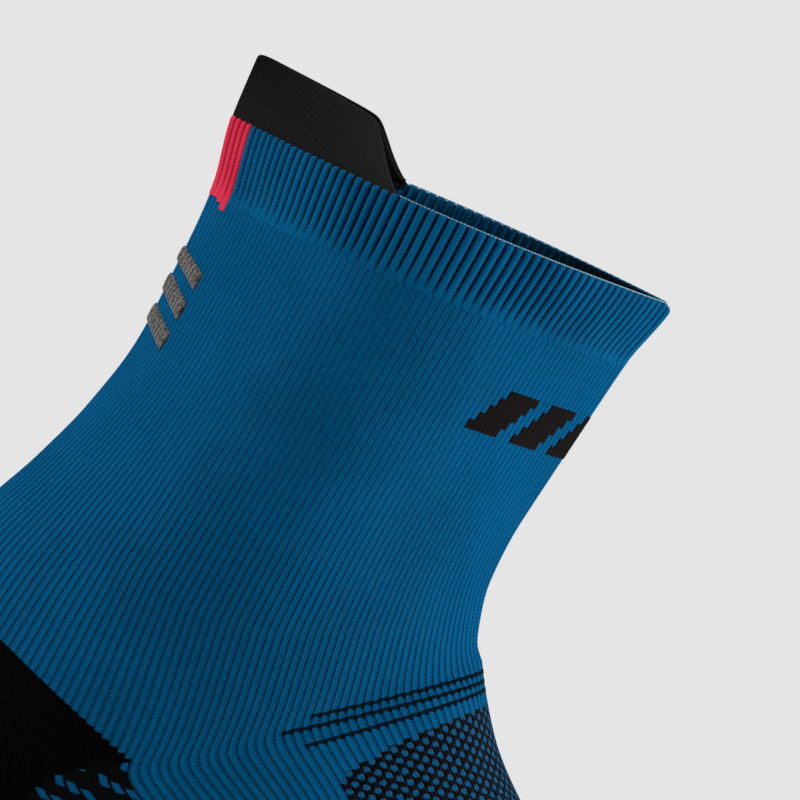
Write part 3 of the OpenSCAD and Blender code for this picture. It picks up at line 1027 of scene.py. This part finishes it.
def piles():
    edge = GORE_WALE + 3
    heel_loops = pile("heel_loops", HEEL_START, HEEL_END, edge, 2 * WALES - edge)
    sole_loops = pile("sole_loops", HEEL_END, FOREFOOT_START, SOLE_WALE, FAR_SOLE_WALE)
    ball_loops = pile("ball_loops", FOREFOOT_START, TOE_START, SOLE_WALE, FAR_SOLE_WALE)
    toe_loops = pile("toe_loops", TOE_START, TOE_TIP - 1, -WALES, WALES)
    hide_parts("heel_terry")
    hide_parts("sole_terry")
    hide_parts("forefoot_terry")
    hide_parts("toe_terry")
    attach(heel_loops, "foot")
    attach(sole_loops, "foot")
    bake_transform(ball_loops)
    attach(toe_loops, "toe")


def toe_seam():
    edge = at_wale_of_angle(SEAM_STATION, 90)
    numbers = np.linspace(-edge, edge, 200)
    beads = 0.5 + 0.15 * np.cos(numbers * 2 * np.pi)
    rows = [(np.full(numbers.shape, SEAM_STATION), 0 * numbers - 0.1)]
    for k in range(7):
        angle = math.pi * k / 6
        t = SEAM_STATION + 0.08 * (1 - math.cos(angle))
        rows.append((t + 0 * numbers, beads * math.sin(angle)))
    piece = make_piece("toe_seam_stitches", [loop_rows(rows, numbers, WALES)], BLACK_KNIT, sharp=80)
    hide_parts("toe_seam")
    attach(piece, "toe")


def raised_band(start, first, last, tall, height, teeth=0):
    """A band of raised stitches from the stations given by start, tall in millimetres, with teeth
    where it sinks between the wales."""
    numbers = columns(first, last, (0, 0.06, 0.35, 0.65, 0.94))
    down = start(numbers)
    tall = tall * (1 + teeth * np.cos(2 * np.pi * numbers))
    edge = 0.6 * height
    profile = ((0, -0.25), (0.02, edge), (0.25, height), (0.75, height), (0.98, edge), (1, -0.25))
    rows = [(further(down, numbers, share * tall), up + 0 * numbers) for share, up in profile]
    return loop_rows(rows, numbers, WALES)


# Each flex line's ends in the side view, forward of the back of the heel and above the floor, and
# how many wales it reaches from the front
FLEX_LINES = (
    ((76.8, 59.2), (99.4, 81), 25),
    ((72.9, 52.8), (100.5, 79.6), 28),
    ((79.5, 54.9), (101.3, 78.1), 26),
)


def stepped_line(start, end):
    """A function that gives the stations of a line in the side view, a step every two wales."""
    return lambda numbers: crossing(np.floor(np.abs(numbers) / 2) * 2 + 1, start, end)


def flex_lines():
    """Three thin black lines that fan from the gore to the front."""
    grids = []
    for start, end, reach in FLEX_LINES:
        line = stepped_line(start, end)
        grids.append(raised_band(line, -reach, reach, tall=0.8, height=0.08, teeth=0.35))
    piece = make_piece("flex_line_stitches", grids, LINE_KNIT, sharp=80)
    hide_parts("flex_lines")
    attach(piece, "foot")


# The bars in front: the station of their top and a step's height in millimetres, and in wales
# the first bar's left side, a bar's width and the distance from one bar to the next
BAR_TOP = 2.6
BAR_STEP = 1.88
BAR_LEFT = -19
BAR_WIDTH = 6
BAR_PITCH = 9


def below_top(run):
    """A function that gives the stations a distance in millimetres below the bars' top."""
    return lambda numbers: further(np.full(numbers.shape, BAR_TOP), numbers, run)


def front_bars():
    """Five broad bars in black stitches across the front of the leg, slanted by a wale a step."""
    grids = []
    for bar in range(5):
        for step in range(5):
            left = BAR_LEFT + BAR_PITCH * bar - step
            top = below_top(BAR_STEP * step)
            grids.append(raised_band(top, left, left + BAR_WIDTH, BAR_STEP + 0.06, 0.08))
    piece = make_piece("front_bar_stitches", grids, MOTIF_KNIT, sharp=80)
    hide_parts("front_motif")
    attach(piece, "leg")


# The chevrons at the back: their stations at the middle, their reach in wales each way, how far
# they slant in stations a wale, and stations and shares of the height down one of them
TENDON_STATIONS = (2.76, 3.12, 3.48)
TENDON_REACH = 8
TENDON_SLANT = 0.022
TENDON_PROFILE = (
    (0, 0.5), (0.02, 0.85), (0.05, 1), (0.1, 1), (0.15, 1), (0.18, 0.85), (0.2, 0.5), (0.2, 0),
)


def tendon_bars():
    """Three thick chevrons across the back of the leg, with rounded edges."""
    grids = []
    first = WALES - TENDON_REACH
    last = WALES + TENDON_REACH
    numbers = columns(first, last, (0, 0.25, 0.5, 0.75))
    ends = np.minimum(1, np.minimum(numbers - first, last - numbers) / 0.6)
    slant = TENDON_SLANT * np.abs(numbers - WALES)
    ribs = 0.6 + 0.2 * rib_crest(numbers)
    for start in TENDON_STATIONS:
        rows = [(start + slant, -0.15 + 0 * numbers)]
        for down, up in TENDON_PROFILE:
            rows.append((start + down + slant, ribs * up * np.sqrt(ends) - 0.1))
        grids.append(loop_rows(rows, numbers, WALES))
    piece = make_piece("tendon_bars", grids, MELANGE, sharp=80)
    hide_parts("achilles_relief")
    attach(piece, "leg")


# ---- Camera, floor and light ----

def camera():
    """Rolled so that the foot points down to the right, a little above level."""
    roll = math.radians(33)
    rise = math.radians(3.75)
    target = Vector((0.0588 - FOOT_LENGTH / 2000, 0, 0.1149))
    back = Vector((0, -1, 0)) * math.cos(rise) + Vector((-0.162, 0, 0.987)) * math.sin(rise)
    back.normalize()
    right = Vector((math.cos(roll), 0, math.sin(roll)))
    right = (right - back * right.dot(back)).normalized()
    up = back.cross(right)
    data = bpy.data.cameras.new("camera")
    data.lens = 360
    data.sensor_width = 36
    rig = bpy.data.objects.new("camera", data)
    turn = Matrix((right, up, back)).transposed().to_4x4()
    rig.matrix_world = Matrix.Translation(target + back * 1.5) @ turn
    bpy.context.scene.collection.objects.link(rig)
    bpy.context.scene.camera = rig


def floor():
    bm = bmesh.new()
    bmesh.ops.create_circle(bm, cap_ends=True, segments=96, radius=0.45)
    bmesh.ops.translate(bm, verts=bm.verts, vec=(0, 0, -0.0002))
    mesh = bpy.data.meshes.new("floor")
    bm.to_mesh(mesh)
    bm.free()
    material = bpy.data.materials.new("matt_white_paint")
    material.use_nodes = True
    tree = material.node_tree
    shader = tree.nodes["Principled BSDF"]
    shader.inputs["Roughness"].default_value = 0.9
    tone = blend(tree, fuzz(tree, 60), "#d9d9d9", "#dddddd")
    tree.links.new(tone, shader.inputs["Base Color"])
    mesh.materials.append(material)
    plane = bpy.data.objects.new("floor", mesh)
    bpy.context.scene.collection.objects.link(plane)


def softbox(name, at, aim, size, power):
    data = bpy.data.lights.new(name, "AREA")
    data.size = size
    data.energy = power
    light = bpy.data.objects.new(name, data)
    light.location = at
    light.rotation_euler = (Vector(aim) - Vector(at)).to_track_quat("-Z", "Y").to_euler()
    bpy.context.scene.collection.objects.link(light)


def lights():
    """Two soft lights at the sides, so both outlines are light, and a weak one in front."""
    middle = (-0.04, 0, 0.1)
    softbox("side_light_back", (-1.1, -0.15, 0.7), middle, 0.9, 17)
    softbox("side_light_front", (0.95, -0.15, 0.75), middle, 0.9, 24)
    softbox("front_fill", (-0.1, -1.6, 0.5), middle, 1.2, 1)
    world = bpy.data.worlds.new("studio")
    bpy.context.scene.world = world
    world.use_nodes = True
    background = world.node_tree.nodes["Background"]
    background.inputs[0].default_value = linear("#e5e5e5")
    seen = add(world.node_tree, "ShaderNodeLightPath").outputs[0]
    dim = maths(world.node_tree, "MULTIPLY_ADD", seen, 0.74, 0.26)
    world.node_tree.links.new(dim, background.inputs[1])
    bpy.context.scene.view_settings.view_transform = "Standard"


camera()
cuff()
stripe()
heel_tab()
heel_tab_lining()
rim_thread()
leg()
ankle()
gusset()
instep_mesh()
foot_sides()
heel()
sole()
forefoot()
toe()
piles()
toe_seam()
flex_lines()
front_bars()
tendon_bars()
floor()
lights()
